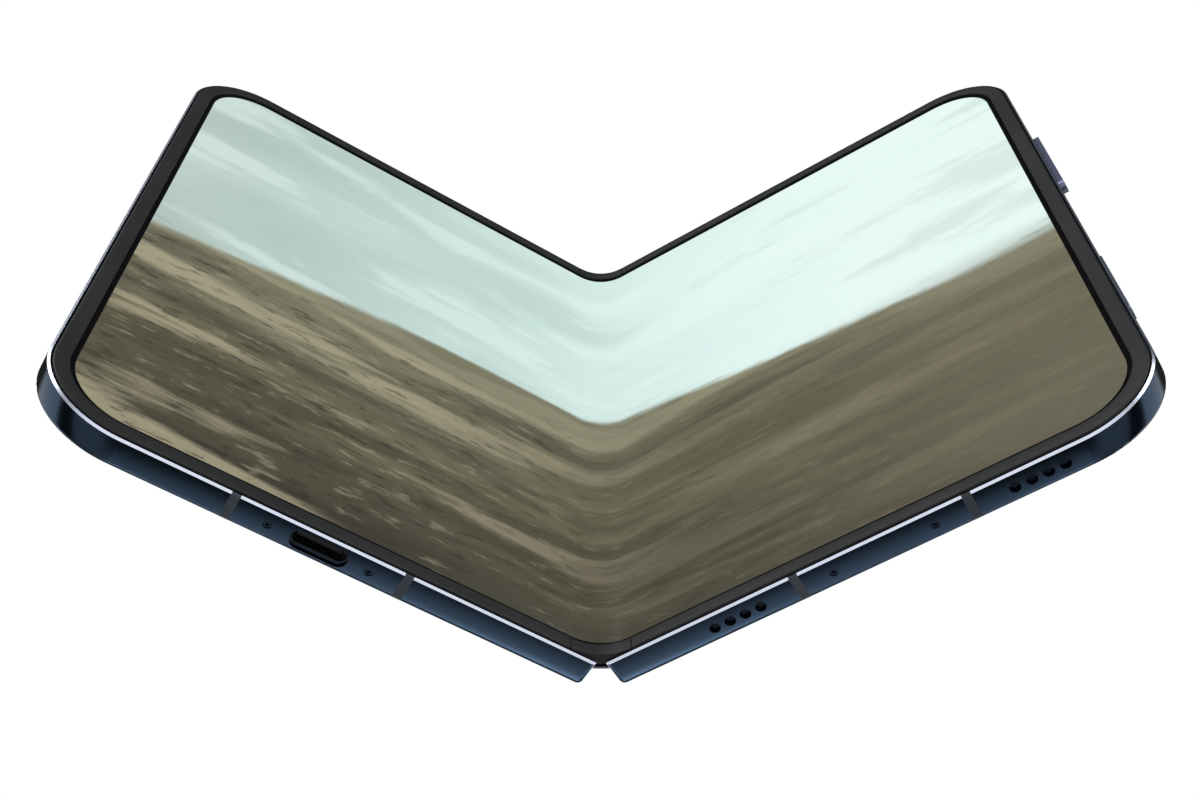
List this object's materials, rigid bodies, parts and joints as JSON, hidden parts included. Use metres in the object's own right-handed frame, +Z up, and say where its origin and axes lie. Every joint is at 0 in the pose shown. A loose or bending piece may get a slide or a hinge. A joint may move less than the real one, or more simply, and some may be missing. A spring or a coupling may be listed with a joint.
{
  "type": "foldable smartphone",
  "caption": "Book-style foldable phone, half open on its bottom edge: two framed halves with a folding inner display on a geared spine hinge.",
  "frame": {"origin": "middle of the phone's footprint, on the surface that its bottom edge stands on", "axes": "+X across both halves towards the half with the keys, +Y from the inner display to the back, +Z up along the hinge"},
  "size_m": [0.1493, 0.0466, 0.12],
  "materials": {
    "frame_metal": "glossy deep blue",
    "antenna_plastic": "matte",
    "rim_rubber": "soft matte",
    "screen": "glossy, showing a plain landscape",
    "steel": "satin",
    "black_plastic": "matte",
    "circuit_board": "satin",
    "copper": "satin",
    "back_glass": "glossy",
    "lens_glass": "polished",
    "lens_metal": "turned",
    "flash_lens": "frosted"
  },
  "bodies": {
    "spine": {"spine_cover": "frame_metal", "spine_end_caps": "rim_rubber", "hinge_bracket_lower": "steel", "hinge_bracket_middle": "steel", "hinge_bracket_upper": "steel", "bracket_screws": "steel", "gear_plates": "steel", "gear_axles": "steel", "display_fold": "screen", "display_fold_backing": "steel", "fold_caps": "rim_rubber", "hinge_flex": "copper"},
    "left_half": {"left_frame": "frame_metal", "left_antenna_breaks": "antenna_plastic", "left_rim": "rim_rubber", "left_display": "screen", "left_support_plate": "steel", "left_hinge_arms": "steel", "left_arm_screws": "steel", "left_battery": "black_plastic", "charging_board": "circuit_board", "usb_port_shell": "steel", "usb_port_tongue": "black_plastic", "left_case_screws": "steel", "haptic_motor": "steel", "earpiece": "black_plastic", "display_board": "circuit_board", "cover_display_panel": "black_plastic", "cover_glass": "back_glass", "cover_camera": "black_plastic"},
    "right_half": {"right_frame": "frame_metal", "right_antenna_breaks": "antenna_plastic", "right_rim": "rim_rubber", "right_display": "screen", "right_support_plate": "steel", "right_hinge_arms": "steel", "right_arm_screws": "steel", "right_battery": "black_plastic", "main_board": "circuit_board", "board_shields": "steel", "charging_coil": "copper", "speaker_box_inner": "black_plastic", "speaker_box_outer": "black_plastic", "speaker_meshes": "rim_rubber", "right_case_screws": "steel", "rear_glass": "back_glass", "camera_plateau": "frame_metal", "lens_rings": "lens_metal", "lens_glasses": "lens_glass", "camera_modules": "black_plastic", "flash_window": "flash_lens", "side_key_switch": "copper", "volume_switches": "copper"},
    "side_key": {"side_key": "frame_metal"},
    "volume_rocker": {"volume_rocker": "frame_metal"},
    "pinion_a": {"pinion_a": "steel"},
    "pinion_b": {"pinion_b": "steel"},
    "pinion_c": {"pinion_c": "steel"},
    "pinion_d": {"pinion_d": "steel"}
  },
  "joints": [
    {"name": "left_fold", "type": "hinge", "parent": "spine", "child": "left_half", "pos_m": [-0.00075, 0.0199, 0.06], "axis": [0, 0, 1], "range_deg": [-31, 59], "deforming": ["display_fold", "display_fold_backing", "fold_caps", "hinge_flex"]},
    {"name": "right_fold", "type": "hinge", "parent": "spine", "child": "right_half", "pos_m": [0.00075, 0.0199, 0.06], "axis": [0, 0, -1], "range_deg": [-31, 59], "deforming": ["display_fold", "display_fold_backing", "fold_caps", "hinge_flex"]},
    {"name": "side_key_press", "type": "slide", "parent": "right_half", "child": "side_key", "axis": [-0.8572, 0.515, 0], "range_m": [0, 0.00025], "stiffness_N_per_m": 4000},
    {"name": "volume_rock", "type": "hinge", "parent": "right_half", "child": "volume_rocker", "pos_m": [0.07214, -0.0206, 0.0337], "axis": [0.515, 0.8572, 0], "range_deg": [-1.2, 1.2], "stiffness_Nm_per_rad": 0.4},
    {"name": "pinion_a_spin", "type": "hinge", "parent": "spine", "child": "pinion_a", "pos_m": [0.00141, 0.02134, 0.039], "axis": [0, 0, 1], "range_deg": [-260, 260]},
    {"name": "pinion_b_spin", "type": "hinge", "parent": "spine", "child": "pinion_b", "pos_m": [0.00047, 0.02134, 0.039], "axis": [0, 0, 1], "range_deg": [-260, 260]},
    {"name": "pinion_c_spin", "type": "hinge", "parent": "spine", "child": "pinion_c", "pos_m": [-0.00047, 0.02134, 0.039], "axis": [0, 0, 1], "range_deg": [-260, 260]},
    {"name": "pinion_d_spin", "type": "hinge", "parent": "spine", "child": "pinion_d", "pos_m": [-0.00141, 0.02134, 0.039], "axis": [0, 0, 1], "range_deg": [-260, 260]}
  ],
  "couplings": [
    {"joint": "right_fold", "follows": "left_fold", "ratio": 1},
    {"joint": "pinion_a_spin", "follows": "left_fold", "ratio": -4.375},
    {"joint": "pinion_b_spin", "follows": "left_fold", "ratio": 4.375},
    {"joint": "pinion_c_spin", "follows": "left_fold", "ratio": -4.375},
    {"joint": "pinion_d_spin", "follows": "left_fold", "ratio": 4.375}
  ]
}
